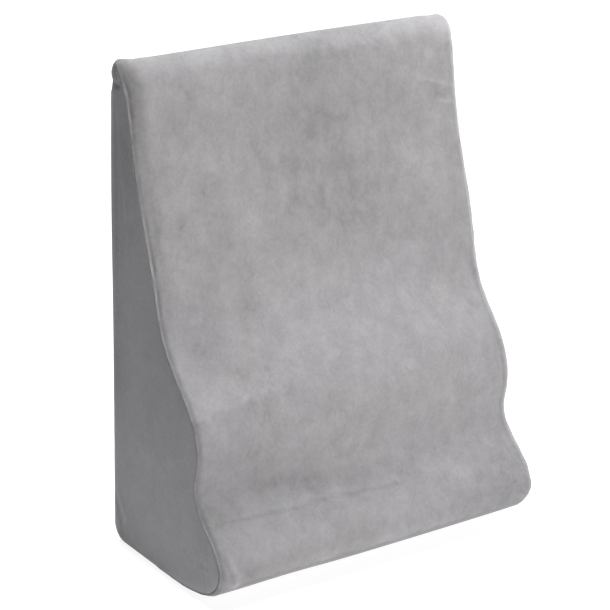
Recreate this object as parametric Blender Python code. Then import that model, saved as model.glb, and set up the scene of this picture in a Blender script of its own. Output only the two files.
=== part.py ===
"""Bed wedge pillow standing on its thick end: a filled wedge in a velour wrap, with two sewn-in side panels.

X runs across the width, the back rest faces -Y, the flat back is at +Y and Z is up. The origin is at the
middle of the bounding box's bottom. Units are metres.
"""

import math
from collections import namedtuple

import bmesh
import bpy
import numpy as np
from mathutils import Vector
from mathutils.geometry import interpolate_bezier

# Driving dimensions
WIDTH = 0.610  # across the two side faces, at their edges
HEIGHT = 0.789  # from the base to the crest of the thin top
DEPTH = 0.318  # from the flat back to the nose of the toe, at the side edges
EDGE_RADIUS = 0.0143  # rounding between the wrap and each side face
BACK_CORNER_RADIUS = 0.032  # rounding between the flat back and the base
FRONT_CROWN = 0.003  # how far the filled front stands proud halfway across
SIDE_CROWN = 0.003  # how far each side face swells at its middle
SEAM_ANGLE = math.radians(51.0)  # place of the seam on the edge rounding, 0 on the wrap, 90 deg on the side
SEAM_DRAW = 0.0012  # how far the stitching draws the edge in
PANEL_THICKNESS = 0.003  # velour with its backing
GAP = 0.0003  # air between two pieces that are sewn together

# The contour of the front, as shares of DEPTH and HEIGHT, from the flat of the base up to the back of the top
Station = namedtuple("Station", "name depth height")
FRONT_CONTOUR = (
    Station("flat_end", 0.4355, 0.0000),
    Station("toe_heel", 0.8289, 0.0123),
    Station("toe_under", 0.9013, 0.0237),
    Station("toe_low", 0.9632, 0.0465),
    Station("toe_nose", 1.0000, 0.0802),
    Station("toe_high", 0.9745, 0.1161),
    Station("toe_top", 0.8428, 0.1715),
    Station("waist", 0.7572, 0.2223),
    Station("lumbar_low", 0.7717, 0.2731),
    Station("lumbar", 0.7632, 0.3240),
    Station("lumbar_high", 0.7091, 0.3748),
    Station("lumbar_top", 0.6097, 0.4257),
    Station("hollow_low", 0.5132, 0.4766),
    Station("hollow", 0.4610, 0.5337),
    Station("rest_low", 0.4233, 0.5972),
    Station("rest_middle", 0.3310, 0.7150),
    Station("rest_top", 0.2387, 0.8513),
    Station("neck", 0.2031, 0.9276),
    Station("shoulder", 0.1745, 0.9651),
    Station("top_front", 0.1336, 0.9886),
    Station("crest", 0.0755, 1.0000),
    Station("top_back", 0.0267, 0.9905),
    Station("back_end", 0.0000, 0.9632),
)
CONTOUR_STEPS = 3  # points from one station to the next
BACK_STEPS = 6  # points down the flat back
CORNER_STEPS = 5  # points round the bottom corner of the back
BASE_STEPS = 2  # points along the flat of the base

# Rings of each surface
WRAP_ACROSS = (-0.66, -0.33, 0.0, 0.33, 0.66)  # places of the wrap's rings, as shares of its half width
WRAP_ROUNDING = (1.0, 0.72, 0.38, 0.0)  # shares of SEAM_ANGLE
SIDE_ROUNDING = (0.0, 0.5, 1.0)  # shares of the way from the seam to the side face
SIDE_INWARD = (0.35, 0.7)  # shares of the way from the side's edge to its spine
SPINE_LOW, SPINE_HIGH = 0.10, 0.965  # ends of the side's spine, as shares of HEIGHT

WRAP_COLOUR = (0.40, 0.398, 0.41, 1.0)
SIDE_COLOUR = (0.385, 0.385, 0.40, 1.0)
VELOUR_ROUGHNESS = 0.9

BACK_Y = (DEPTH + FRONT_CROWN) / 2  # the flat back, with the bounding box centred on the origin
FULL_ROUND = math.pi / 2
SHARP_ANGLE = math.radians(50.0)  # edges sharper than this aren't shaded smooth


def clear_scene():
    """Removes what the scene holds, so that only the pillow is left in it."""
    for obj in list(bpy.data.objects):
        bpy.data.objects.remove(obj, do_unlink=True)


def spline_tangents(points, lengths, first, last):
    """Tangents of the smooth cubic curve through the points, with the end directions first and last."""
    count = len(points)
    matrix = np.eye(count)
    target = np.zeros((count, 2))
    target[0], target[-1] = first, last
    slopes = np.diff(points, axis=0) / lengths[:, None]
    for i in range(1, count - 1):
        before, after = lengths[i - 1], lengths[i]
        matrix[i, i - 1 : i + 2] = after, 2 * (before + after), before
        target[i] = 3 * (after * slopes[i - 1] + before * slopes[i])
    return np.linalg.solve(matrix, target)


def front_points():
    """Points (y, z) of the front, from the flat of the base over the toe and up to the back of the top."""
    knots = np.array([(BACK_Y - row.depth * DEPTH, row.height * HEIGHT) for row in FRONT_CONTOUR])
    lengths = np.linalg.norm(np.diff(knots, axis=0), axis=1)
    tangents = spline_tangents(knots, lengths, (-1.0, 0.0), (0.0, -1.0))
    points = []
    for i, length in enumerate(lengths):
        start, end = Vector(knots[i]), Vector(knots[i + 1])
        handle_out = start + Vector(tangents[i]) * length / 3
        handle_in = end - Vector(tangents[i + 1]) * length / 3
        points += interpolate_bezier(start, handle_out, handle_in, end, CONTOUR_STEPS + 1)[:-1]
    return [(point.x, max(point.y, 0.0)) for point in points]


def straight(start, end, steps):
    """Points from start to end, leaving out the end."""
    return [tuple(Vector(start).lerp(Vector(end), step / steps)) for step in range(steps)]


class Section:
    """The wedge's closed section, the same all the way across, and the rings that its surfaces follow."""

    def __init__(self):
        """Sets the points (y, z), over the toe, up the front and down the back, and their outward normals."""
        corner = BACK_CORNER_RADIUS
        back_top = (BACK_Y, FRONT_CONTOUR[-1].height * HEIGHT)
        base_end = (BACK_Y - FRONT_CONTOUR[0].depth * DEPTH, 0.0)
        front = front_points()
        back = straight(back_top, (BACK_Y, corner), BACK_STEPS)
        turns = [FULL_ROUND * step / CORNER_STEPS for step in range(CORNER_STEPS)]
        round_corner = [
            (BACK_Y - corner + corner * math.cos(turn), corner - corner * math.sin(turn)) for turn in turns
        ]
        base = straight((BACK_Y - corner, 0.0), base_end, BASE_STEPS)
        self.points = np.array(front + back + round_corner + base)
        along = np.roll(self.points, -1, axis=0) - np.roll(self.points, 1, axis=0)
        self.normals = np.stack([-along[:, 1], along[:, 0]], axis=1)
        self.normals /= np.linalg.norm(self.normals, axis=1)[:, None]
        flat_back = len(front) + np.arange(BACK_STEPS + 1)
        flat_base = np.append(np.arange(-BASE_STEPS, 0), 0)
        self.normals[flat_back] = (1.0, 0.0)
        self.normals[flat_base] = (0.0, -1.0)
        nose = int(np.argmin(self.points[: len(front), 0]))
        self.rising_front = self.points[nose : len(front)]

    def spine(self):
        """For each point, the point of the side's upright middle line that it is drawn towards."""
        low, high = SPINE_LOW * HEIGHT, SPINE_HIGH * HEIGHT
        heights = low + (high - low) * self.points[:, 1] / HEIGHT
        fronts = np.interp(heights, self.rising_front[:, 1], self.rising_front[:, 0])
        return [Vector(pair) for pair in zip((BACK_Y + fronts) / 2, heights)]

    def ring(self, x, inset):
        """One ring at x, drawn in from the section by inset. Only what faces the front is crowned."""
        crown = FRONT_CROWN * (1 - min(abs(2 * x / WIDTH), 1.0) ** 2)
        proud = crown * np.clip(-self.normals[:, 0], 0.0, 1.0) - inset
        return [Vector((x, *point)) for point in self.points + self.normals * proud[:, None]]

    def rounding_ring(self, side, turn, below):
        """A ring on the edge rounding of side -1 or 1, at a turn from the wrap and below the cloth's face."""
        radius = EDGE_RADIUS - below
        x = WIDTH / 2 - EDGE_RADIUS + radius * math.sin(turn)
        return self.ring(side * x, EDGE_RADIUS - radius * math.cos(turn))

    def side_rings(self, side, below):
        """Rings of one side face, below the cloth's face, from the seam over the rounding and inwards."""
        rings = []
        for share in SIDE_ROUNDING:
            turn = SEAM_ANGLE + (FULL_ROUND - SEAM_ANGLE) * share
            rings.append(self.rounding_ring(side, turn, below + SEAM_DRAW * (1 - share)))
        pairs = list(zip(rings[-1], self.spine()))
        for share in SIDE_INWARD:
            swell = SIDE_CROWN * math.sin(FULL_ROUND * share / SIDE_INWARD[-1])
            x = side * (WIDTH / 2 - below + swell)
            rings.append([Vector((x, *point.yz.lerp(middle, share))) for point, middle in pairs])
        return rings


def build_solid(name, rings, colour):
    """One closed solid through a list of rings, each with the same number of points, capped at both ends."""
    mesh = bpy.data.meshes.new(name)
    shape = bmesh.new()
    loops = [[shape.verts.new(point) for point in points] for points in rings]
    for first, second in zip(loops, loops[1:]):
        for i, corner in enumerate(first):
            following = (i + 1) % len(first)
            shape.faces.new((corner, first[following], second[following], second[i]))
    for cap in (loops[0][::-1], loops[-1]):
        shape.faces.new(cap)
    bmesh.ops.recalc_face_normals(shape, faces=shape.faces)
    bmesh.ops.triangulate(shape, faces=shape.faces, quad_method="SHORT_EDGE")
    shape.to_mesh(mesh)
    shape.free()
    mesh.shade_smooth()
    mesh.set_sharp_from_angle(angle=SHARP_ANGLE)
    mesh.materials.append(velour(name, colour))
    obj = bpy.data.objects.new(name, mesh)
    bpy.context.scene.collection.objects.link(obj)
    return obj


def velour(name, colour):
    """The plain velour finish of one piece."""
    material = bpy.data.materials.new(name + "_velour")
    material.use_nodes = True
    shader = material.node_tree.nodes["Principled BSDF"]
    shader.inputs["Base Color"].default_value = colour
    shader.inputs["Roughness"].default_value = VELOUR_ROUGHNESS
    shader.inputs["Metallic"].default_value = 0.0
    return material


def body_end(section, side):
    """Rings of the body from near the middle of one end face out to the start of the flat wrap."""
    step_turn = SEAM_ANGLE - GAP / (EDGE_RADIUS - PANEL_THICKNESS)
    under_panel = section.side_rings(side, PANEL_THICKNESS + GAP)
    under_panel[0] = section.rounding_ring(side, step_turn, PANEL_THICKNESS + GAP + SEAM_DRAW)
    wrap = [section.rounding_ring(side, step_turn * share, SEAM_DRAW * share**2) for share in WRAP_ROUNDING]
    return under_panel[::-1] + wrap


def build_body(section):
    """The filled wedge with the wrap: front, thin top, flat back and base, and a step for each side panel."""
    half = WIDTH / 2 - EDGE_RADIUS
    across = [section.ring(share * half, 0.0) for share in WRAP_ACROSS]
    rings = body_end(section, -1) + across + body_end(section, 1)[::-1]
    return build_solid("wedge_body", rings, WRAP_COLOUR)


def build_side_panel(section, name, side):
    """One side panel: a crowned sheet of velour whose turned edge is sewn to the wrap."""
    outer = section.side_rings(side, 0.0)
    inner = section.side_rings(side, PANEL_THICKNESS)
    return build_solid(name, outer[::-1] + inner, SIDE_COLOUR)


def main():
    """Builds the three pieces."""
    clear_scene()
    section = Section()
    build_body(section)
    build_side_panel(section, "side_panel_left", -1)
    build_side_panel(section, "side_panel_right", 1)


main()
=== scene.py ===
"""Bed wedge pillow: the plush velour cover over its filled wedge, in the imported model's frame.

X runs across the width, the back rest faces -Y, the flat back is at +Y and Z is up, in metres. The cover is
traced as rings round the wedge's section, from the middle of one side face to the middle of the other. Every
ring has the same number of points, so that the wrap and the two side panels share their seams.
"""
import logging
import math
from dataclasses import dataclass
from enum import Enum
from typing import NamedTuple

import bmesh
import bpy
import numpy as np
from mathutils import Matrix, Vector


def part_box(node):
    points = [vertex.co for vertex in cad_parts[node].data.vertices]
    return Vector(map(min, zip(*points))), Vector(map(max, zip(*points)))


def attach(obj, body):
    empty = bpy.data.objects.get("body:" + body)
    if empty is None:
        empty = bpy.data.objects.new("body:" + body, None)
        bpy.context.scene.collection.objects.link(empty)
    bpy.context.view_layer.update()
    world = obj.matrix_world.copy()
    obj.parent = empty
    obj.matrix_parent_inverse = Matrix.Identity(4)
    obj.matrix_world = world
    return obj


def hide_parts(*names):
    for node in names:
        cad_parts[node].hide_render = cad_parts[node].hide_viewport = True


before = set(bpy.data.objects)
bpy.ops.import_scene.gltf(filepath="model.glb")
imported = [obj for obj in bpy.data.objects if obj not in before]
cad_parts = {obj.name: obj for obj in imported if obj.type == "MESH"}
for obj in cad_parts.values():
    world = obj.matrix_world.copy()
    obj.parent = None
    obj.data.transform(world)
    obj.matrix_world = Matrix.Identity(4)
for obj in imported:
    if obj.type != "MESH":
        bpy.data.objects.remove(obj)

LOG = logging.getLogger("bed_wedge_pillow")
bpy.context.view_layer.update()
QUARTER_TURN = math.pi / 2
TINY = 1e-9
# Name of the tone attribute, which holds the nap's own patches and painted shade and highlights.
NAP_AND_PAINTED_LIGHT = "nap"
Array = np.ndarray
Pair = tuple[float, float]
Triple = tuple[float, float, float]


class Side(Enum):
    """The two ends of the width."""

    LEFT = -1
    RIGHT = 1


class Station(NamedTuple):
    """A place on the front's contour, as shares of the wedge's depth and height."""

    name: str
    depth: float
    height: float


FRONT_CONTOUR = (
    Station("flat_end", 0.4355, 0.0000),
    Station("toe_heel", 0.8289, 0.0123),
    Station("toe_under", 0.9013, 0.0237),
    Station("toe_low", 0.9632, 0.0465),
    Station("toe_nose", 1.0000, 0.0802),
    Station("toe_high", 0.9745, 0.1161),
    Station("toe_top", 0.8428, 0.1715),
    Station("waist", 0.7572, 0.2223),
    Station("lumbar_low", 0.7717, 0.2731),
    Station("lumbar", 0.7632, 0.3240),
    Station("lumbar_high", 0.7091, 0.3748),
    Station("lumbar_top", 0.6097, 0.4257),
    Station("hollow_low", 0.5132, 0.4766),
    Station("hollow", 0.4610, 0.5337),
    Station("rest_low", 0.4233, 0.5972),
    Station("rest_middle", 0.3310, 0.7150),
    Station("rest_top", 0.2387, 0.8513),
    Station("neck", 0.2031, 0.9276),
    Station("shoulder", 0.1745, 0.9651),
    Station("top_front", 0.1336, 0.9886),
    Station("crest", 0.0755, 1.0000),
    Station("top_back", 0.0267, 0.9905),
    Station("back_end", 0.0000, 0.9632),
)


def bell(distance: Array, width: float) -> Array:
    """A soft bump of height 1 round distance 0, down to a third at width."""
    return np.exp(-((distance / width) ** 2))


def ease(value: Array, low: float, high: float) -> Array:
    """A smooth step from 0 at low to 1 at high."""
    share = np.clip((value - low) / (high - low), 0.0, 1.0)
    return share * share * (3 - 2 * share)


def blurred(values: Array, passes: int, closed: bool = True) -> Array:
    """Evens values out with their neighbours along the first axis.

    Args:
        values: the values.
        passes: how many times they are evened out.
        closed: whether the last one is next to the first.

    Returns:
        The evened values.
    """
    for _ in range(passes):
        before, after = (values[-1:], values[:1]) if closed else (values[:1], values[-1:])
        padded = np.concatenate([before, values, after])
        values = (padded[:-2] + 2 * padded[1:-1] + padded[2:]) / 4
    return values


@dataclass(frozen=True)
class Ripple:
    """A wandering line of smooth, uneven waves, the same each run."""

    seed: int
    wavelength: float
    spread: float = 0.45
    terms: int = 9
    peak: float = 1.6

    def along(self, place: Array) -> Array:
        """Height of the waves at each place.

        Args:
            place: distances along the line, in metres.

        Returns:
            Values of about -1 to 1.
        """
        random = np.random.default_rng(self.seed)
        total = np.zeros_like(place)
        for _ in range(self.terms):
            length = self.wavelength * (1 + self.spread * random.uniform(-1, 1))
            total += np.sin(2 * math.pi * (place / length + random.uniform()))
        return total / math.sqrt(self.terms / 2) / self.peak


class Outline:
    """The wedge's closed section: points (y, z) along it, close up the front, with normals and bends.

    climb is a point's height up the front, carried on past the crest and before the toe's nose by the
    distance along the section. flatness is 1 on the flat back and base.
    """

    SPAN_STEPS = 24
    CORNER_RADIUS = 0.032
    CORNER_CLOSENESS = 0.5
    FLAT_CLOSENESS = 0.2
    FLAT_STEP = 0.1
    FLAT_WITHIN = 1e-5
    FLAT_BLUR = 6
    BEND_BLUR = 14
    SPINE_ENDS = (0.10, 0.965)

    def __init__(self, depth: float, height: float, back: float, count: int) -> None:
        """Traces the section over the toe, up the front, round the top, down the back and along the base.

        Args:
            depth: from the flat back to the toe's nose, in metres.
            height: from the base to the crest, in metres.
            back: y of the flat back.
            count: how many points the section has.
        """
        self.depth, self.height, self.back = depth, height, back
        knots = np.array([(back - row.depth * depth, row.height * height) for row in FRONT_CONTOUR])
        front, rear = self._smooth(knots), self._flat_back(knots)
        closed = np.vstack([front, rear, front[:1]])
        steps = np.linalg.norm(np.diff(closed, axis=0), axis=1)
        closeness = np.full(len(steps), self.CORNER_CLOSENESS)
        closeness[: len(front)] = 1.0
        closeness[steps > self.FLAT_STEP] = self.FLAT_CLOSENESS
        marks = np.concatenate([[0.0], np.cumsum(steps)])
        shares = np.concatenate([[0.0], np.cumsum(steps * closeness)])
        self.along = np.interp(np.arange(count) * shares[-1] / count, shares, marks)
        self.points = np.stack([np.interp(self.along, marks, closed[:, axis]) for axis in (0, 1)], axis=1)
        ahead = np.roll(self.points, -1, axis=0) - np.roll(self.points, 1, axis=0)
        self.normals = np.stack([-ahead[:, 1], ahead[:, 0]], axis=1)
        self.normals /= np.linalg.norm(self.normals, axis=1)[:, None]
        flat_back = np.isclose(self.points[:, 0], back, atol=self.FLAT_WITHIN)
        flat_base = (self.points[:, 1] < self.FLAT_WITHIN) & (self.points[:, 0] > knots[0, 0])
        self.normals[flat_back] = (1.0, 0.0)
        self.normals[flat_base] = (0.0, -1.0)
        self.flatness = blurred(np.where(flat_back | flat_base, 1.0, 0.0), self.FLAT_BLUR)
        turning = np.roll(self.normals, -1, axis=0) - np.roll(self.normals, 1, axis=0)
        bend = np.linalg.norm(turning, axis=1) / np.linalg.norm(ahead, axis=1)
        self.bend = blurred(bend, self.BEND_BLUR)
        crest, nose = int(np.argmax(self.points[:, 1])), int(np.argmin(self.points[:, 0]))
        self.front = self.points[nose : crest + 1]
        self.climb = self.points[:, 1].copy()
        self.climb[crest:] = height + self.along[crest:] - self.along[crest]
        self.climb[:nose] = self.points[nose, 1] - (self.along[nose] - self.along[:nose])

    def _smooth(self, knots: Array) -> Array:
        """Draws the smooth curve through the knots, level at the base and upright at the back.

        Args:
            knots: places (y, z) on the front, from the flat of the base to the flat of the back.

        Returns:
            Points of the curve, close together, without the last knot.
        """
        lengths = np.linalg.norm(np.diff(knots, axis=0), axis=1)
        slopes = np.diff(knots, axis=0) / lengths[:, None]
        matrix, target = np.eye(len(knots)), np.zeros((len(knots), 2))
        target[0], target[-1] = (-1.0, 0.0), (0.0, -1.0)
        for i in range(1, len(knots) - 1):
            before, after = lengths[i - 1], lengths[i]
            matrix[i, i - 1 : i + 2] = after, 2 * (before + after), before
            target[i] = 3 * (after * slopes[i - 1] + before * slopes[i])
        tangents = np.linalg.solve(matrix, target)
        share = (np.arange(self.SPAN_STEPS) / self.SPAN_STEPS)[:, None]
        spans = []
        for i, length in enumerate(lengths):
            spans.append(
                (1 + 2 * share) * (1 - share) ** 2 * knots[i]
                + share**2 * (3 - 2 * share) * knots[i + 1]
                + length * share * (1 - share) * ((1 - share) * tangents[i] - share * tangents[i + 1])
            )
        curve = np.vstack(spans)
        curve[:, 1] = np.maximum(curve[:, 1], 0.0)
        return curve

    def _flat_back(self, knots: Array) -> Array:
        """Draws the flat back and its rounded bottom corner.

        Args:
            knots: the front's places, of which the last is where the back starts.

        Returns:
            Points from the top of the flat back to the end of its bottom corner.
        """
        radius = self.CORNER_RADIUS
        turn = np.linspace(0.0, QUARTER_TURN, self.SPAN_STEPS)
        corner = [self.back - radius + radius * np.cos(turn), radius - radius * np.sin(turn)]
        return np.vstack([knots[-1:], np.stack(corner, axis=1)])

    def spine(self) -> Array:
        """Finds the upright middle line of the side face.

        Returns:
            For each point of the section, the place on the line that it is drawn towards.
        """
        low, high = (share * self.height for share in self.SPINE_ENDS)
        heights = low + (high - low) * self.points[:, 1] / self.height
        fronts = np.interp(heights, self.front[:, 1], self.front[:, 0])
        return np.stack([(self.back + fronts) / 2, heights], axis=1)

    def area(self) -> float:
        """The section's area in square metres, which is the cut size of a side panel."""
        (y, z), (next_y, next_z) = self.points.T, np.roll(self.points, -1, axis=0).T
        return abs(float(np.sum(y * next_z - next_y * z))) / 2


@dataclass
class Rings:
    """The whole cover: rings of points, their outward normals and how far each point is from its seam.

    reach is 0 on a seam, positive on the wrap and negative on a side panel. across orders the rings from the
    left side's middle to the right side's, and side says which half a ring is in.
    """

    points: Array
    normals: Array
    reach: Array
    side: Array
    across: Array
    outline: Outline

    @property
    def along(self) -> Array:
        """Distance of each point along the section."""
        return np.broadcast_to(self.outline.along, self.reach.shape)

    @property
    def climb(self) -> Array:
        """Height of each point up the front."""
        return np.broadcast_to(self.outline.climb, self.reach.shape)


def graded(total: float, first: float, growth: float, most: float) -> Array:
    """Places whose steps grow.

    Args:
        total: the last place.
        first: the first step, about.
        growth: each step over the one before it.
        most: the largest step.

    Returns:
        Distances from 0 to total.
    """
    places, step = [0.0], first
    while places[-1] < total:
        places.append(places[-1] + step)
        step = min(step * growth, most)
    return np.array(places) * total / places[-1]


class Ring(NamedTuple):
    """One ring of the cover: its points, their outward normals and their distances from the seam."""

    points: Array
    normals: Array
    reach: Array


@dataclass
class Cover:
    """The cover's resting shape: the section all the way across, with rounded edges and crowned faces."""

    outline: Outline
    width: float
    edge_radius: float = 0.0143
    seam_angle: float = math.radians(51.0)
    front_crown: float = 0.003
    side_crown: float = 0.0032
    side_fade: float = 0.012
    crown_fade: float = 0.05
    straight_in: float = 0.006
    spine_reach: float = 0.97
    side_length: float = 0.1
    side_growth: float = 1.22
    side_step: float = 0.07
    wrap_growth: float = 1.13
    order_margin: float = 0.15

    @property
    def half_flat(self) -> float:
        """Half the width of the wrap between its two edge roundings."""
        return self.width / 2 - self.edge_radius

    @property
    def seam_drop(self) -> float:
        """How far the seam lies inside the plane of the side face."""
        return self.edge_radius * (1 - math.sin(self.seam_angle))

    @property
    def wrap_arc(self) -> float:
        """Length of the wrap's edge rounding, from the seam to the flat."""
        return self.edge_radius * self.seam_angle

    def _section_at(self, x: float, inset: float) -> Array:
        """Draws the section at one place across the width, with the front's crown.

        Args:
            x: the place across.
            inset: how far the section is drawn in, square to itself.

        Returns:
            Points (y, z).
        """
        out = self.outline.normals
        crown = self.front_crown * (1 - min(abs(2 * x / self.width), 1.0) ** 2)
        proud = crown * np.clip(-out[:, 0], 0.0, 1.0) - inset
        return self.outline.points + out * proud[:, None]

    def _wrap_ring(self, side: int, reach: float) -> Ring:
        """Draws a ring of the wrap.

        Args:
            side: -1 or 1.
            reach: distance from that side's seam, in metres.

        Returns:
            The ring.
        """
        turn = max(self.seam_angle - reach / self.edge_radius, 0.0)
        past = max(reach - self.wrap_arc, 0.0)
        x = side * (self.half_flat + self.edge_radius * math.sin(turn) - past)
        plane = self._section_at(x, self.edge_radius * (1 - math.cos(turn)))
        out = self.outline.normals * math.cos(turn)
        normals = np.column_stack([np.full(len(out), side * math.sin(turn)), out])
        points = np.column_stack([np.full(len(plane), x), plane])
        return Ring(points, normals, np.full(len(plane), reach))

    def _side_ring(self, side: int, inward: float, share: float) -> Ring:
        """Draws a ring of a side face.

        Args:
            side: -1 or 1.
            inward: distance from the seam, straight in, in metres.
            share: how far the ring is then drawn towards the spine.

        Returns:
            The ring.
        """
        rounded = self.edge_radius * (1 - math.cos(self.seam_angle))
        edge = self._section_at(self.width / 2, rounded + inward)
        draw = (self.outline.spine() - edge) * share
        distance = inward + np.linalg.norm(draw, axis=1)
        swell = self.side_crown * (1 - np.exp(-distance / self.crown_fade))
        drop = self.seam_drop * np.exp(-distance / self.side_fade)
        x = side * (self.width / 2 - drop + swell)
        turn = self.seam_angle + (QUARTER_TURN - self.seam_angle) * ease(distance, 0.0, self.straight_in)
        normals = np.column_stack([side * np.sin(turn), self.outline.normals * np.cos(turn)[:, None]])
        return Ring(np.column_stack([x, edge + draw]), normals, -distance)

    def trace(self, fine: float, coarse: float) -> Rings:
        """Traces the whole cover, from the left side's spine to the right side's.

        Args:
            fine: the step between rings next to a seam, in metres.
            coarse: the largest step between rings of the wrap.

        Returns:
            The rings, with the seams where reach is 0.
        """
        full = self.width / 2 + self.order_margin
        steps = np.arange(0, self.straight_in, fine)
        shares = graded(self.spine_reach, fine / self.side_length, self.side_growth, self.side_step)
        turns = np.linspace(0, self.wrap_arc, int(self.wrap_arc / fine) + 1)[1:]
        flat = self.wrap_arc + graded(self.half_flat, fine, self.wrap_growth, coarse)[1:]
        inner_places = -self.straight_in - self.side_length * shares
        halves = []
        for side in (-1, 1):
            inner = [self._side_ring(side, self.straight_in, share) for share in shares]
            edge = [self._side_ring(side, step, 0.0) for step in steps]
            wrap = [self._wrap_ring(side, reach) for reach in (*turns, *flat)]
            places = (*inner_places[::-1], *-steps[::-1], *turns, *flat)
            halves.append(list(zip(places, inner[::-1] + edge[::-1] + wrap)))
        left, right = halves
        rows = [(place - full, -1, ring) for place, ring in left]
        rows += [(full - place, 1, ring) for place, ring in right[-2::-1]]
        across, sides, rings = zip(*rows)
        return Rings(
            points=np.array([ring.points for ring in rings]),
            normals=np.array([ring.normals for ring in rings]),
            reach=np.array([ring.reach for ring in rings]),
            side=np.array(sides),
            across=np.array(across),
            outline=self.outline,
        )


class Face(Enum):
    """The faces of the cover that a mark can lie on."""

    WRAP = "wrap"
    LEFT = "left side"
    RIGHT = "right side"


@dataclass(frozen=True)
class Mark:
    """A mark on one face of the cover, which adds to its height or to its tone, the nap's own together with
    painted shade and highlights.

    A place on the wrap is x and climb, and a place on a side is y and height.
    """

    face: Face

    def height(self, rings: Rings) -> Array:
        """Works out what the mark adds to the cover.

        Args:
            rings: the cover's rings.

        Returns:
            A height in metres, or a share of the tone, for each point.
        """
        if self.face is Face.WRAP:
            return np.where(rings.reach > -TINY, self._rise(rings.points[..., 0], rings.climb), 0.0)
        side = Side.LEFT if self.face is Face.LEFT else Side.RIGHT
        on_face = (rings.reach < TINY) & (rings.side[:, None] == side.value)
        return np.where(on_face, self._rise(rings.points[..., 1], rings.points[..., 2]), 0.0)

    def _rise(self, first: Array, second: Array) -> Array:
        """What the mark adds at places on its face, which each kind of mark works out."""
        raise NotImplementedError


@dataclass(frozen=True)
class Swelling(Mark):
    """A rounded rise or hollow at a centre, with a size each way."""

    centre: Pair
    size: Pair
    depth: float

    def _rise(self, first: Array, second: Array) -> Array:
        """Height of the swelling at places on its face."""
        rise = bell(first - self.centre[0], self.size[0]) * bell(second - self.centre[1], self.size[1])
        return self.depth * rise


@dataclass(frozen=True)
class LineMark(Mark):
    """A mark that follows a line from start to end."""

    start: Pair
    end: Pair

    @property
    def length(self) -> float:
        """Length of the line."""
        return float(np.hypot(*(np.array(self.end) - self.start)))

    def _from_line(self, first: Array, second: Array) -> tuple[Array, Array]:
        """Measures places on the face from the line.

        Args:
            first: the places' first coordinate.
            second: their second coordinate.

        Returns:
            How far ahead of the line's start they are, and how far to its left.
        """
        unit = (np.array(self.end) - self.start) / self.length
        ahead = (first - self.start[0]) * unit[0] + (second - self.start[1]) * unit[1]
        aside = (second - self.start[1]) * unit[0] - (first - self.start[0]) * unit[1]
        return ahead, aside


@dataclass(frozen=True)
class Fold(LineMark):
    """A soft trough or ridge along a slightly bowed line, shallower towards its ends.

    depth is negative for a trough, and shoulder is the height of the swell that runs beside it.
    """

    depth: float
    width: float
    bow: float = 0.0
    shoulder: float = 0.0
    shoulder_place: float = 1.6
    blunt: float = 0.08
    taper_power: float = 0.8

    def _rise(self, first: Array, second: Array) -> Array:
        """Works out the fold's height.

        Args:
            first: the places' first coordinate.
            second: their second coordinate.

        Returns:
            The height at each place.
        """
        ahead, aside = self._from_line(first, second)
        share = np.clip(ahead / self.length, 0.0, 1.0)
        aside = aside - self.bow * 4 * share * (1 - share)
        past = ahead - share * self.length
        taper = np.sin(math.pi * (self.blunt + (1 - 2 * self.blunt) * share)) ** self.taper_power
        trough = self.depth * bell(np.hypot(aside, past), self.width)
        swell = bell(aside - self.shoulder_place * self.width, self.width) * bell(past, self.width)
        return (trough + self.shoulder * swell) * taper


@dataclass(frozen=True)
class NapAndPaintedLightLine(LineMark):
    """A line where the tone changes and fades away from it: nap brushed up to it, and painted shade and
    light along it, as under the toe, in the waist's crease and on the lumbar swell.

    above and below are the tones that it adds on the two sides. The line wanders a little.
    """

    above: float
    below: float
    reach: float
    edge: float = 0.004
    wander: float = 0.004
    wander_line: Ripple = Ripple(seed=41, wavelength=0.045, spread=0.8)

    def _rise(self, first: Array, second: Array) -> Array:
        """Works out the tone that the line adds, of nap and painted shade and light.

        Args:
            first: the places' first coordinate.
            second: their second coordinate.

        Returns:
            The tone at each place.
        """
        ahead, aside = self._from_line(first, second)
        aside = aside + self.wander * self.wander_line.along(ahead)
        past = ahead - np.clip(ahead, 0.0, self.length)
        share = ease(aside, -self.edge, self.edge)
        tone = self.above * share + self.below * (1 - share)
        return tone * bell(aside, self.reach) * bell(past, self.reach)


def marks(kind: type[Mark], face: Face, *rows: tuple[float, ...]) -> list[Mark]:
    """Marks of one kind on one face, a row each: its centre or start, its size or end, and its values."""
    return [kind(face, row[:2], row[2:4], *row[4:]) for row in rows]


def nearness(points: Array, centre: Triple, size: Triple) -> Array:
    """1 at a centre in space, fading smoothly by its size each way."""
    off = (points - np.array(centre)) / np.array(size)
    return np.exp(-np.sum(off * off, axis=-1))


@dataclass(frozen=True)
class Lump:
    """A rounded rise or hollow of the cover round a point, whatever faces it lies on."""

    centre: Triple
    size: Triple
    depth: float

    def height(self, rings: Rings) -> Array:
        """Height that the lump adds at each point."""
        return self.depth * nearness(rings.points, self.centre, self.size)


@dataclass(frozen=True)
class Pull:
    """A place where the cover is drawn along bodily, by a short way in one direction."""

    centre: Triple
    size: Triple
    move: Triple

    def offset(self, rings: Rings) -> Array:
        """Movement of each point."""
        return nearness(rings.points, self.centre, self.size)[..., None] * np.array(self.move)


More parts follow.
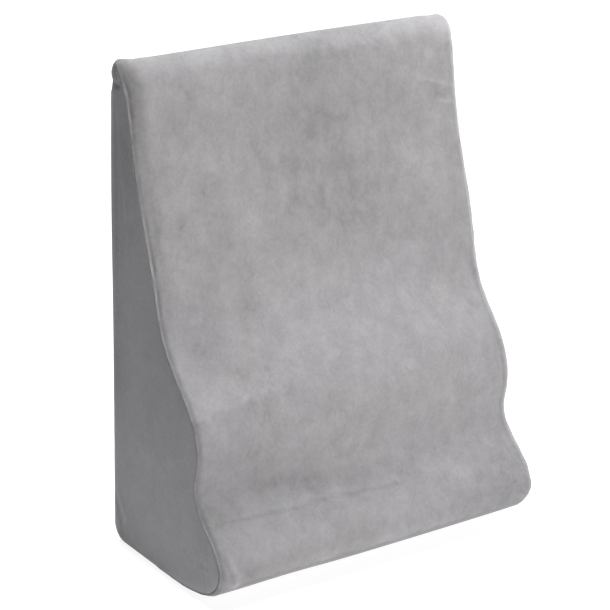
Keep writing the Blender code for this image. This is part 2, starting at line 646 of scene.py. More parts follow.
@dataclass(frozen=True)
class Slack:
    """Where one side's seam sits further in from the front, so that the wrap rolls over on to the side.

    drops are pairs of a climb and how far the seam sits in there. The wrap follows within wrap_reach of the
    seam, and the panel less and less towards its middle.
    """

    side: Side
    drops: tuple[Pair, ...]
    wrap_reach: float = 0.020
    panel_fade: float = 1.5

    def offset(self, rings: Rings) -> Array:
        """Works out how the cover moves.

        Args:
            rings: the cover's rings.

        Returns:
            The movement of each point.
        """
        climbs, amounts = zip(*self.drops)
        drop = np.interp(rings.outline.climb, climbs, amounts)
        whole = rings.reach[0 if self.side is Side.LEFT else -1]
        inside = np.clip(1 - rings.reach / whole, 0.0, 1.0) ** self.panel_fade
        near = np.where(rings.reach > 0, bell(rings.reach, self.wrap_reach), inside)
        near = near * (rings.side == self.side.value)[:, None]
        inward = np.concatenate([np.zeros((len(drop), 1)), -rings.outline.normals], axis=1)
        return (drop * near)[..., None] * inward


Relief = Mark | Lump


class SeamPart(NamedTuple):
    """The seam at one climb: its ridge and that ridge's place, groove, trough and the panel's hollow."""

    climb: float
    ridge: float
    place: float
    groove: float
    trough: float
    hollow: float


@dataclass(frozen=True)
class SeamLine:
    """The sewn line: the wrap's turned edge stands up as a thin ridge, with a shallow trough beside it."""

    parts: tuple[SeamPart, ...]
    groove_width: float = 0.0010
    ridge_width: float = 0.0013
    trough_place: float = 0.0042
    trough_width: float = 0.0026
    hollow_place: float = 0.0045
    hollow_width: float = 0.0028
    unevenness: float = 0.4
    waves: Ripple = Ripple(seed=11, wavelength=0.05)
    side_shift: float = 0.31

    def height(self, rings: Rings) -> Array:
        """Works out the height that the seam adds.

        Args:
            rings: the cover's rings.

        Returns:
            The height at each point.
        """
        climbs, *columns = zip(*self.parts)
        ridge, place, groove, trough, hollow = (np.interp(rings.climb, climbs, column) for column in columns)
        shifted = rings.along + self.side_shift * rings.side[:, None]
        uneven = 1 + self.unevenness * self.waves.along(shifted)
        reach = rings.reach
        risen = ridge * uneven * bell(reach - place, self.ridge_width)
        sunk = groove * bell(reach, self.groove_width)
        sunk = sunk + trough * uneven * bell(reach - self.trough_place, self.trough_width)
        sunk = sunk + hollow * bell(reach + self.hollow_place, self.hollow_width)
        return risen - sunk


@dataclass(frozen=True)
class Puckers:
    """Fine gathers square to the seam, where the section bends and the two edges are eased together."""

    seed: int
    depth: float
    wavelength: float
    fade: float
    on_wrap: bool
    even: float = 0.15
    bends: Pair = (6.0, 26.0)
    side_shift: float = 0.07
    slant: float = 0.12
    long_waves: float = 5
    fade_change: float = 0.5
    start: float = 0.0022

    def height(self, rings: Rings) -> Array:
        """Works out the height that the gathers add.

        Args:
            rings: the cover's rings.

        Returns:
            The height at each point.
        """
        outline = rings.outline
        gather = self.even + (1 - self.even) * ease(outline.bend, *self.bends)
        gather = gather * (1 - outline.flatness)
        reach = rings.reach if self.on_wrap else -rings.reach
        inside = np.maximum(reach, 0.0)
        place = rings.along + self.side_shift * rings.side[:, None] + self.slant * inside
        waves = Ripple(self.seed, self.wavelength).along(place)
        lengths = Ripple(self.seed + 1, self.long_waves * self.wavelength).along(place)
        fade = np.exp(-inside / (self.fade * (1 + self.fade_change * lengths)))
        start = ease(reach, 0.0, self.start)
        return np.where(reach > 0, self.depth * gather * waves * fade * start, 0.0)


@dataclass
class Filling:
    """The foam that presses out against the cover: cloth under pressure, with capped movement.

    A point moves by cap at most, and one that the cloth moved by give moves by two thirds of that.
    """

    around: int = 180
    fine: float = 0.006
    coarse: float = 0.014
    pressure: float = 4.0
    frames: int = 20
    cap: float = 0.0016
    give: float = 0.05
    sewn_reach: float = 0.012

    def press(self, cover: Cover) -> tuple[Rings, Array]:
        """Swells a coarse copy of the cover.

        Args:
            cover: the cover's resting shape.

        Returns:
            The coarse rings and how far each of their points moves.
        """
        flat = cover.outline
        outline = Outline(flat.depth, flat.height, flat.back, self.around)
        rings = Cover(outline, cover.width).trace(self.fine, self.coarse)
        shape = loft("filling_trial", list(rings.points))
        held = shape.vertex_groups.new(name="held")
        sewn = shape.vertex_groups.new(name="sewn")
        flatness = np.tile(outline.flatness, len(rings.points))
        seam = bell(rings.reach.ravel(), self.sewn_reach)
        for index, (level, pull) in enumerate(zip(flatness, seam)):
            held.add([index], float(level), "REPLACE")
            sewn.add([index], float(pull), "REPLACE")
        cloth = shape.modifiers.new("press", "CLOTH")
        settings = {"quality": 5, "mass": 0.3, "tension_stiffness": 12, "compression_stiffness": 12}
        settings |= {"bending_stiffness": 1.5, "use_pressure": True, "uniform_pressure_force": self.pressure}
        settings |= {"vertex_group_mass": held.name, "vertex_group_shrink": sewn.name, "shrink_max": 0.03}
        for key, value in settings.items():
            setattr(cloth.settings, key, value)
        cloth.settings.effector_weights.gravity = 0.0
        cloth.point_cache.frame_start, cloth.point_cache.frame_end = 1, self.frames
        scene = bpy.context.scene
        for step in range(1, self.frames + 1):
            scene.frame_set(step)
        pressed = shape.evaluated_get(bpy.context.evaluated_depsgraph_get())
        places = np.empty(len(pressed.data.vertices) * 3)
        pressed.data.vertices.foreach_get("co", places)
        moved = places.reshape(-1, 3)[: rings.reach.size].reshape(rings.points.shape) - rings.points
        scene.frame_set(1)
        bpy.data.objects.remove(shape, do_unlink=True)
        size = np.maximum(np.linalg.norm(moved, axis=2, keepdims=True), TINY)
        return rings, moved * self.cap * (1 - np.exp(-size / self.give)) / size


def carried(moved: Array, coarse: Rings, fine: Rings) -> Array:
    """Carries the movement of coarse rings over to fine ones.

    Args:
        moved: how far each point of the coarse rings moves.
        coarse: the coarse rings.
        fine: the fine rings.

    Returns:
        How far each point of the fine rings moves.
    """
    count = fine.reach.shape[1]
    place = np.arange(count) * coarse.reach.shape[1] / count
    low = np.floor(place).astype(int)
    share = (place - low)[None, :, None]
    wrapped = np.concatenate([moved, moved[:, :1]], axis=1)
    round_each = wrapped[:, low] * (1 - share) + wrapped[:, low + 1] * share
    spot = np.interp(fine.across, coarse.across, np.arange(len(coarse.across)))
    row = np.minimum(np.floor(spot).astype(int), len(coarse.across) - 2)
    part = (spot - row)[:, None, None]
    return round_each[row] * (1 - part) + round_each[row + 1] * part


def loft(name: str, rings: list[Array], nap: list[Array] | None = None) -> bpy.types.Object:
    """One closed mesh object through rings of points, closed at both ends.

    Args:
        name: the object's name.
        rings: arrays of the same number of points, from one end to the other.
        nap: the tone at each point, from 0 to 1: how pale the nap lies, with painted shade and highlights.

    Returns:
        The object, shaded smooth, with its place in its mesh.
    """
    around = len(rings[0])
    points = np.vstack(rings)
    start = np.arange(len(rings) - 1)[:, None] * around
    here = np.arange(around)[None, :]
    following = (here + 1) % around
    corners = (start + here, start + following, start + around + following, start + around + here)
    quads = np.stack(corners, axis=2).reshape(-1, 4)
    last = (len(rings) - 1) * around
    caps = [list(range(around))[::-1], [last + i for i in range(around)]]
    mesh = bpy.data.meshes.new(name)
    mesh.from_pydata(points.tolist(), [], quads.tolist() + caps)
    shape = bmesh.new()
    shape.from_mesh(mesh)
    bmesh.ops.triangulate(shape, faces=[face for face in shape.faces if len(face.verts) > 4])
    bmesh.ops.recalc_face_normals(shape, faces=shape.faces)
    shape.to_mesh(mesh)
    shape.free()
    if nap is not None:
        tone = mesh.attributes.new(NAP_AND_PAINTED_LIGHT, "FLOAT", "POINT")
        tone.data.foreach_set("value", np.vstack(nap).ravel().astype(np.float32))
    mesh.shade_smooth()
    obj = bpy.data.objects.new(name, mesh)
    bpy.context.scene.collection.objects.link(obj)
    return obj


@dataclass(frozen=True)
class Value:
    """A shader value: arithmetic on it adds Math nodes to its tree."""

    tree: "ShaderTree"
    socket: bpy.types.NodeSocket

    def _math(self, operation: str, first: "Value | float", second: "Value | float") -> "Value":
        """A Math node on two inputs."""
        return self.tree.node("ShaderNodeMath", {"operation": operation}, {0: first, 1: second}).out()

    def __add__(self, other: "Value | float") -> "Value":
        """This plus the other."""
        return self._math("ADD", self, other)

    __radd__ = __add__

    def __mul__(self, other: "Value | float") -> "Value":
        """This times the other."""
        return self._math("MULTIPLY", self, other)

    __rmul__ = __mul__

    def __sub__(self, other: "Value | float") -> "Value":
        """This minus the other."""
        return self._math("SUBTRACT", self, other)

    def __rsub__(self, other: "Value | float") -> "Value":
        """The other minus this."""
        return self._math("SUBTRACT", other, self)

    def clamped(self) -> "Value":
        """This held between 0 and 1."""
        return self.tree.node("ShaderNodeClamp", {}, {0: self}).out()

    def spread(self, low: float, high: float) -> "Value":
        """This mapped smoothly from low..high to 0..1."""
        inputs = {"Value": self, "From Min": low, "From Max": high}
        return self.tree.node("ShaderNodeMapRange", {"interpolation_type": "SMOOTHSTEP"}, inputs).out()


@dataclass(frozen=True)
class Node:
    """A shader node, whose outputs are read as values."""

    tree: "ShaderTree"
    node: bpy.types.Node

    def out(self, name: str | int = 0) -> Value:
        """One of the node's outputs."""
        return Value(self.tree, self.node.outputs[name])


class ShaderTree:
    """The node tree of one new material."""

    def __init__(self, name: str) -> None:
        """Makes the material with an empty tree.

        Args:
            name: the material's name.
        """
        self.material = bpy.data.materials.new(name)
        self.material.use_nodes = True
        self.nodes = self.material.node_tree.nodes
        self.nodes.clear()

    def node(self, kind: str, settings: dict, inputs: dict) -> Node:
        """Adds a node.

        Args:
            kind: the node's type.
            settings: its own settings, which are set first.
            inputs: a value, a tuple or another node's output for each socket, by name or number.

        Returns:
            The node.
        """
        made = self.nodes.new(kind)
        for key, value in settings.items():
            setattr(made, key, value)
        for key, value in inputs.items():
            if isinstance(value, Value):
                self.material.node_tree.links.new(value.socket, made.inputs[key])
            else:
                made.inputs[key].default_value = value
        return Node(self, made)

    def noise(
        self, place: Value, scale: float, detail: float, roughness: float = 0.5, warp: float = 0.0
    ) -> Value:
        """Fractal noise at a place, centred on 0 and about -1 to 1."""
        inputs = {"Vector": place, "Scale": scale, "Detail": detail, "Roughness": roughness}
        return (self.node("ShaderNodeTexNoise", {}, inputs | {"Distortion": warp}).out("Fac") - 0.5) * 2.0

    def warped(self, place: Value, scale: float, reach: float) -> Value:
        """Moves a place about by noise.

        Args:
            place: the place.
            scale: the noise's scale.
            reach: how far it moves, at most, in metres.

        Returns:
            The moved place.
        """
        inputs = {"Vector": place, "Scale": scale, "Detail": 1.0}
        drift = self.node("ShaderNodeTexNoise", {}, inputs).out("Color")
        half = (0.5, 0.5, 0.5)
        centred = self.node("ShaderNodeVectorMath", {"operation": "SUBTRACT"}, {0: drift, 1: half})
        inputs = {0: centred.out(), 1: (2 * reach, 2 * reach, 2 * reach), 2: place}
        return self.node("ShaderNodeVectorMath", {"operation": "MULTIPLY_ADD"}, inputs).out()

    def mixed(self, share: Value, first: Value | tuple, second: Value | tuple, blend: str = "MIX") -> Value:
        """A colour between two, by share."""
        inputs = {"Factor": share, 6: first, 7: second}
        return self.node("ShaderNodeMix", {"data_type": "RGBA", "blend_type": blend}, inputs).out(2)

    def surface(self, inputs: dict) -> bpy.types.Material:
        """Ends the tree in a Principled shader.

        Args:
            inputs: what goes into the shader's sockets.

        Returns:
            The finished material.
        """
        shader = self.node("ShaderNodeBsdfPrincipled", {}, inputs)
        self.node("ShaderNodeOutputMaterial", {}, {"Surface": shader.out("BSDF")})
        return self.material


@dataclass(frozen=True)
class Velour:
    """Crushed plush velour: a nap that lies unevenly, in swirls, with a soft sheen.

    deep and pale are the colours of the nap brushed against and with the light. patch, cloud, swirl, thread
    and grain say how much each scale of the pattern changes the colour, from the broadest to the finest, and
    crease how dark its fine bent lines are. cool tints patches of it, less and less up through cool_heights.
    nap_layers are the shares of the threads, the grain and the swirls in its relief.
    """

    name: str
    deep: Triple
    pale: Triple
    patch: float
    cloud: float
    swirl: float
    thread: float
    grain: float
    crease: float = 0.0
    crease_sharpness: float = 400.0
    crease_patches: Pair = (0.10, 0.40)
    cool: Triple = (1.0, 1.0, 1.0)
    cool_patches: Pair = (-0.30, 0.30)
    cool_heights: Pair = (0.30, 0.55)
    roughness: float = 0.85
    roughness_change: float = 0.2
    specular: float = 0.12
    sheen: float = 0.30
    sheen_roughness: float = 0.30
    sheen_tint: Triple = (0.93, 0.96, 1.0)
    nap_bump: float = 0.30
    nap_height: float = 0.0006
    nap_layers: Triple = (0.5, 0.6, 0.5)
    upright: float = 0.8
    shift: float = 0.0

    def build(self) -> bpy.types.Material:
        """Makes the material.

        Returns:
            The material, with its pattern in the object's own coordinates and its broad tones, the nap's own
            with painted shade and highlights, in the mesh's tone attribute.
        """
        tree = ShaderTree(self.name)
        place = tree.node("ShaderNodeTexCoord", {}, {}).out("Object")
        height = tree.node("ShaderNodeSeparateXYZ", {}, {"Vector": place}).out("Z")
        moved = {"Vector": place, "Scale": (1.0, 1.0, self.upright), "Location": (self.shift,) * 3}
        place = tree.node("ShaderNodeMapping", {}, moved).out()
        curled = tree.warped(place, scale=16.0, reach=0.012)
        twisted = tree.warped(place, scale=45.0, reach=0.0025)
        patches = tree.noise(curled, scale=7.0, detail=1.0, roughness=0.7)
        clouds = tree.noise(curled, scale=20.0, detail=1.0, roughness=0.9)
        swirls = tree.noise(twisted, scale=60.0, detail=2.0, roughness=0.9, warp=0.4)
        threads = tree.noise(place, scale=200.0, detail=1.0, roughness=0.8)
        grain = tree.noise(place, scale=480.0, detail=1.0, roughness=0.8)
        bends = tree.noise(twisted, scale=24.0, detail=1.0, roughness=0.6)
        lines = (1.0 - bends * bends * self.crease_sharpness).clamped()
        creases = lines * tree.noise(curled, scale=11.0, detail=0.0).spread(*self.crease_patches)
        lie = patches * self.patch + clouds * self.cloud + swirls * self.swirl - creases * self.crease
        lie = lie + threads * self.thread + grain * self.grain
        # The broad tones: the nap's own patches with painted shade in creases, dimples and along the bottom
        # edges and painted highlights on ridges and the right edge.
        broad = tree.node("ShaderNodeAttribute", {"attribute_name": NAP_AND_PAINTED_LIGHT}, {}).out("Fac")
        share = (lie + broad).clamped()
        colour = tree.mixed(share, (*self.deep, 1.0), (*self.pale, 1.0))
        worn = (1.0 - height.spread(*self.cool_heights)) * patches.spread(*self.cool_patches)
        colour = tree.mixed(worn, colour, (*self.cool, 1.0), "MULTIPLY")
        nap = sum(layer * part for layer, part in zip((threads, grain, swirls), self.nap_layers))
        bump = {"Strength": self.nap_bump, "Distance": self.nap_height, "Height": nap}
        return tree.surface(
            {
                "Base Color": colour,
                "Roughness": (self.roughness - lie * self.roughness_change).clamped(),
                "Specular IOR Level": self.specular,
                "Sheen Weight": self.sheen,
                "Sheen Roughness": self.sheen_roughness,
                "Sheen Tint": (*self.sheen_tint, 1.0),
                "Normal": tree.node("ShaderNodeBump", {}, bump).out(),
            }
        )


@dataclass
class WedgePillow:
    """The whole pillow: the filled body in its wrap and the two side panels, traced on one set of rings.

    The surface under a panel takes every under_step-th ring. under_ends counts back from the seam to where
    those steps end, and to the rings that follow.
    """

    width: float
    depth: float
    height: float
    back: float
    folds: list[Relief]
    seams: list[SeamLine | Puckers]
    pulls: list[Pull | Slack]
    tones: list[Relief]
    around: int = 700
    fine: float = 0.0011
    coarse: float = 0.0076
    cloth: float = 0.002
    gap: float = 0.0003
    flat_cut: Pair = (0.330, 0.800)
    flat_from: float = 0.02
    flat_troughs: float = 0.3
    evening: int = 4
    under_step: int = 6
    under_ends: tuple[int, ...] = (8, 6, 4)
    plain_nap: float = 0.5

    def __post_init__(self) -> None:
        """Traces the cover and works out its relief."""
        outline = Outline(self.depth, self.height, self.back, self.around)
        self.cover = Cover(outline, self.width)
        self.rings = self.cover.trace(self.fine, self.coarse)
        relief = sum(feature.height(self.rings) for feature in (*self.seams, *self.folds))
        level = 1 - outline.flatness * (np.abs(self.rings.reach) > self.flat_from)
        kept = self.flat_troughs + (1 - self.flat_troughs) * level
        relief = np.where(relief > 0, relief * level, relief * kept)
        self.skin = self.rings.points + self.rings.normals * relief[..., None]
        self.skin = sum((pull.offset(self.rings) for pull in self.pulls), self.skin)
        coarse, moved = Filling().press(self.cover)
        swell = blurred(carried(moved, coarse, self.rings), self.evening, closed=False)
        swell = blurred(swell.swapaxes(0, 1), self.evening).swapaxes(0, 1)
        self.skin += swell * (1 - outline.flatness)[None, :, None]
        LOG.info("filling pressed, %.1f mm at most", 1000 * np.abs(moved).max())
        self.skin[..., 1] = np.minimum(self.skin[..., 1], self.back)
        self.skin[..., 2] = np.maximum(self.skin[..., 2], 0.0)
        # The tone at each point: the nap's own patches with painted shade and highlights.
        self.nap = self.plain_nap + sum(tone.height(self.rings) for tone in self.tones)
        on_seam = np.flatnonzero(np.abs(self.rings.reach[:, 0]) < TINY)
        self.left_seam, self.right_seam = int(on_seam[0]), int(on_seam[-1])

    def _rows(self, side: Side) -> tuple[Array, Array]:
        """Picks one side panel's rings.

        Args:
            side: which side.

        Returns:
            Their points and tones (the nap's own with painted shade and highlights), from near the panel's
            middle out to the seam.
        """
        if side is Side.LEFT:
            return self.skin[: self.left_seam + 1].copy(), self.nap[: self.left_seam + 1]
        return self.skin[self.right_seam :][::-1].copy(), self.nap[self.right_seam :][::-1]

    def _under(self, side: Side, depth: float) -> list[Array]:
        """Makes the surface under one side panel, of fewer rings than the panel has but close at the seam.

        Args:
            side: which side.
            depth: how far under the panel's face it lies.

        Returns:
            Its rings, from near the panel's middle out to the seam.
        """
        rows = self._rows(side)[0]
        last, *near = (len(rows) - end for end in self.under_ends)
        picked = [*range(0, last, self.under_step), *near]
        rings = [rows[i].copy() for i in picked] + [rows[-1] + (rows[-3] - rows[-1]) * 0.5]
        for ring in rings:
            ring[:, 0] -= side.value * depth
        return rings

    def build_body(self) -> bpy.types.Object:
        """Builds the filled body with the wrap.

        Returns:
            One closed solid, stepped in under each side panel.
        """
        depth = self.cloth + self.gap
        left, right = self._under(Side.LEFT, depth), self._under(Side.RIGHT, depth)[::-1]
        wrap = slice(self.left_seam, self.right_seam + 1)
        plain = [np.full(len(left[0]), self.plain_nap)]
        nap = [*plain * len(left), *self.nap[wrap], *plain * len(right)]
        return loft("wedge_body_velour", [*left, *self.skin[wrap], *right], nap)

    def build_panel(self, side: Side) -> bpy.types.Object:
        """Builds one side panel.

        Args:
            side: which side.

        Returns:
            A closed sheet whose edge turns in at the seam.
        """
        rows, nap = self._rows(side)
        rows[-1] += (rows[-2] - rows[-1]) * (self.gap / self.fine)
        inner = self._under(side, self.cloth)[::-1]
        plain = [np.full(len(nap[0]), self.plain_nap)]
        return loft(f"side_panel_{side.name.lower()}_velour", [*rows, *inner], [*nap, *plain * len(inner)])

    def dress(self, wrap: Velour, sides: Velour) -> None:
        """Builds and finishes the three pieces and ties them to the frame.

        Args:
            wrap: the finish of the long panel round the body.
            sides: the finish of the side panels, darker than the wrap's, partly for their nap and partly as
                painted shade.
        """
        body = self.build_body()
        body.data.materials.append(wrap.build())
        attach(body, "root")
        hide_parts("wedge_body")
        LOG.info("%s: %d faces", body.name, len(body.data.polygons))
        material = sides.build()
        for side in Side:
            panel = self.build_panel(side)
            panel.data.materials.append(material)
            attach(panel, "root")
            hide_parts(f"side_panel_{side.name.lower()}")
            area = self.cover.outline.area()
            LOG.info("%s: %d faces", panel.name, len(panel.data.polygons))


def outward(azimuth: float, elevation: float) -> Vector:
    """The way out from the pillow at two angles in degrees, azimuth 0 in front of it and 90 at its right."""
    turn, lift = math.radians(azimuth), math.radians(elevation)
    return Vector((math.sin(turn) * math.cos(lift), -math.cos(turn) * math.cos(lift), math.sin(lift)))


@dataclass(frozen=True)
class StudioLight:
    """A soft rectangular light that faces a point."""

    name: str
    azimuth: float
    elevation: float
    distance: float
    size: Pair
    power: float
    colour: Triple = (1.0, 1.0, 1.0)

    def add(self, target: Vector) -> None:
        """Adds the light, facing the target.

        Args:
            target: the point that it faces.
        """
        back = outward(self.azimuth, self.elevation)
        data = bpy.data.lights.new(self.name, "AREA")
        data.shape = "RECTANGLE"
        data.size, data.size_y = self.size
        data.energy, data.color = self.power, self.colour
        light = bpy.data.objects.new(self.name, data)
        light.location = target + back * self.distance
        light.rotation_euler = back.to_track_quat("Z", "Y").to_euler()
        bpy.context.scene.collection.objects.link(light)


@dataclass
class Studio:
    """The plain pale floor, the soft light and the camera.

    aim is how far the camera looks to the right of and above the foot of the flat back.
    """

    back: float
    lights: tuple[StudioLight, ...]
    sky: float = 0.01
    floor_size: float = 60.0
    floor_drop: float = 0.0006
    floor_colour: float = 0.35
    floor_glow: Pair = (0.86, 0.92)
    glow_from: Pair = (1.3, 3.2)
    azimuth: float = -35.243
    elevation: float = 20.904
    roll: float = 1.316
    aim: Pair = (0.0593, 0.3150)
    distance: float = 3.9009
    lens: float = 137.64

    def add_floor(self) -> None:
        """Adds the pale floor, just under the pillow."""
        bpy.ops.object.select_all(action="DESELECT")
        bpy.ops.mesh.primitive_plane_add(size=self.floor_size, location=(0.0, 0.0, -self.floor_drop))
        floor = bpy.context.active_object
        floor.name = "studio_floor"
        bpy.ops.object.transform_apply(location=True, rotation=False, scale=False)
        tree = ShaderTree("pale_floor")
        place = tree.node("ShaderNodeTexCoord", {}, {}).out("Object")
        distance = tree.node("ShaderNodeVectorMath", {"operation": "LENGTH"}, {0: place}).out("Value")
        near, far = ((glow, glow, glow, 1.0) for glow in self.floor_glow)
        material = tree.surface(
            {
                "Base Color": (self.floor_colour, self.floor_colour, self.floor_colour, 1.0),
                "Roughness": 0.9,
                "Specular IOR Level": 0.0,
                "Emission Color": tree.mixed(distance.spread(*self.glow_from), near, far),
                "Emission Strength": 1.0,
            }
        )
        floor.data.materials.append(material)

    def add_sky(self) -> None:
        """Fills the room with even white light."""
        world = bpy.data.worlds.new("studio_room")
        world.use_nodes = True
        background = world.node_tree.nodes["Background"]
        background.inputs["Color"].default_value = (1.0, 1.0, 1.0, 1.0)
        background.inputs["Strength"].default_value = self.sky
        bpy.context.scene.world = world

    def add_camera(self) -> None:
        """Adds the camera, level but for its small roll, looking near the pillow's middle."""
        roll = math.radians(self.roll)
        back = outward(self.azimuth, self.elevation)
        right = Vector((0.0, 0.0, 1.0)).cross(back).normalized()
        above = back.cross(right)
        across = right * math.cos(roll) + above * math.sin(roll)
        upward = above * math.cos(roll) - right * math.sin(roll)
        eye = across * self.aim[0] + upward * self.aim[1] + back * self.distance
        data = bpy.data.cameras.new("studio_camera")
        data.lens, data.sensor_width = self.lens, 36.0
        data.clip_end = 200.0
        camera = bpy.data.objects.new("studio_camera", data)
        turned = Matrix((across, upward, back)).transposed().to_4x4()
        camera.matrix_world = Matrix.Translation(eye + Vector((0.0, self.back, 0.0))) @ turned
        bpy.context.scene.collection.objects.link(camera)
        bpy.context.scene.camera = camera

    def set_up(self, target: Vector) -> None:
        """Adds everything.

        Args:
            target: the point that the lights face.
        """
        self.add_camera()
        self.add_floor()
        self.add_sky()
        for light in self.lights:
            light.add(target)
        bpy.context.scene.view_settings.view_transform = "Standard"


# At each climb how far the left seam sits in.
SEAM_DROPS = (
    (0.04, 0.0), (0.09, 0.0045), (0.14, 0.0040), (0.165, 0.0004), (0.20, 0.0),
    (0.36, 0.0), (0.42, 0.0060), (0.54, 0.0085), (0.64, 0.0090), (0.75, 0.0110),
    (0.765, 0.0130), (0.775, 0.0145), (0.785, 0.0115), (0.80, 0.0),
)

# At each climb the ridge and its place, the groove, the trough and the panel's hollow.
SEAM_PARTS = (
    SeamPart(-0.06, 0.0007, 0.0022, 0.0012, 0.0002, 0.0001),
    SeamPart(0.06, 0.0008, 0.0022, 0.0012, 0.0003, 0.0001),
    SeamPart(0.085, 0.0008, 0.0020, 0.0006, 0.0004, 0.0001),
    SeamPart(0.12, 0.0008, 0.0014, 0.0003, 0.0004, 0.0000),
    SeamPart(0.16, 0.0006, 0.0010, 0.0000, 0.0002, -0.0002),
    SeamPart(0.33, 0.0005, 0.0002, 0.0000, 0.0004, -0.0002),
    SeamPart(0.42, 0.0008, -0.0002, 0.0000, 0.0008, -0.0002),
    SeamPart(0.50, 0.0013, -0.0004, 0.0000, 0.0012, -0.0002),
    SeamPart(0.55, 0.0008, -0.0004, 0.0000, 0.0008, -0.0001),
    SeamPart(0.60, 0.0003, -0.0002, 0.0000, 0.0003, -0.0001),
    SeamPart(0.68, 0.0003, -0.0002, 0.0000, 0.0004, 0.0000),
    SeamPart(0.72, 0.0010, -0.0006, 0.0000, 0.0012, 0.0001),
    SeamPart(0.76, 0.0014, -0.0010, 0.0001, 0.0014, 0.0002),
    SeamPart(0.775, 0.0000, 0.0000, 0.0001, 0.0002, 0.0002),
    SeamPart(1.60, 0.0002, 0.0000, 0.0004, 0.0002, 0.0002),
)

SEAMS: list[SeamLine | Puckers] = [
    SeamLine(SEAM_PARTS),
    Puckers(seed=21, depth=0.0004, wavelength=0.0075, fade=0.016, on_wrap=False),
    Puckers(seed=31, depth=0.0003, wavelength=0.0095, fade=0.012, on_wrap=True),
]

# Rows of a Fold hold its start, end, depth and width, and any bow and shoulder. Rows of a Swelling hold its
# centre, size and depth. Rows of a tone line hold its start, end, tones above and below, reach and any edge.
FOLDS: list[Relief] = [
    Lump(centre=(0.284, 0.122, 0.790), size=(0.014, 0.030, 0.012), depth=-0.0030),
    Lump(centre=(-0.275, 0.138, 0.789), size=(0.012, 0.030, 0.030), depth=-0.0014),
    Lump(centre=(-0.305, 0.158, 0.756), size=(0.030, 0.012, 0.009), depth=-0.0026),
    *marks(
        Fold, Face.WRAP,
        # the back rest
        (0.225, 0.703, 0.29, 0.682, 0.0012, 0.0036),
        (0.25, 0.664, 0.295, 0.655, 0.001, 0.0034),
        # the waist
        (-0.17, 0.16, -0.04, 0.153, 0.001, 0.003),
        (-0.2, 0.154, 0.09, 0.126, -0.0027, 0.0095),
        (-0.04, 0.13, 0.08, 0.1345, 0.0008, 0.0026),
        (-0.23, 0.1325, -0.06, 0.13, 0.001, 0.0026),
        (-0.285, 0.131, -0.09, 0.1245, -0.0017, 0.0024, -0.002),
        (-0.13, 0.127, 0.085, 0.1185, -0.0016, 0.0026),
        # the toe
        (-0.25, 0.078, -0.222, 0.052, -0.0014, 0.005),
        (-0.287, 0.092, -0.268, 0.026, 0.0024, 0.005),
        (-0.272, 0.074, -0.24, 0.036, -0.003, 0.006),
        (-0.225, 0.044, -0.196, 0.02, -0.0022, 0.006),
        # along the side edges
        (-0.292, 0.4, -0.292, 0.78, -0.0016, 0.009),
    ),
    *marks(
        Fold, Face.LEFT,
        (0.156, 0.752, 0.118, 0.756, -0.004, 0.007),
        (-0.131, 0.032, -0.122, 0.114, -0.0009, 0.0018, 0.0, 0.0004),
        (-0.127, 0.03, -0.112, 0.118, -0.0008, 0.002, 0.0, 0.0004),
        (-0.121, 0.028, -0.102, 0.106, -0.0007, 0.0022),
        (0.154, 0.092, 0.122, 0.018, -0.0024, 0.004),
        (0.148, 0.092, 0.112, 0.022, 0.0012, 0.0034),
    ),
    *marks(
        Swelling, Face.WRAP,
        (0.03, 0.8, 0.24, 0.04, 0.002),
        (-0.16, 0.02, 0.07, 0.025, -0.0018),
    ),
    Swelling(Face.LEFT, centre=(0.16, 0.58), size=(0.05, 0.16), depth=0.0016),
]

PULLS: list[Pull | Slack] = [
    Pull(centre=(-0.303, 0.130, 0.786), size=(0.014, 0.022, 0.016), move=(-0.0026, 0.0, 0.0040)),
    Pull(centre=(-0.288, 0.136, 0.790), size=(0.024, 0.028, 0.020), move=(0.0, 0.0, 0.0038)),
    Pull(centre=(0.303, 0.124, 0.782), size=(0.018, 0.034, 0.024), move=(0.0042, 0.0, 0.0)),
    Pull(centre=(-0.305, -0.074, 0.245), size=(0.090, 0.060, 0.070), move=(0.0015, -0.0048, 0.0)),
    Slack(Side.LEFT, drops=SEAM_DROPS),
]
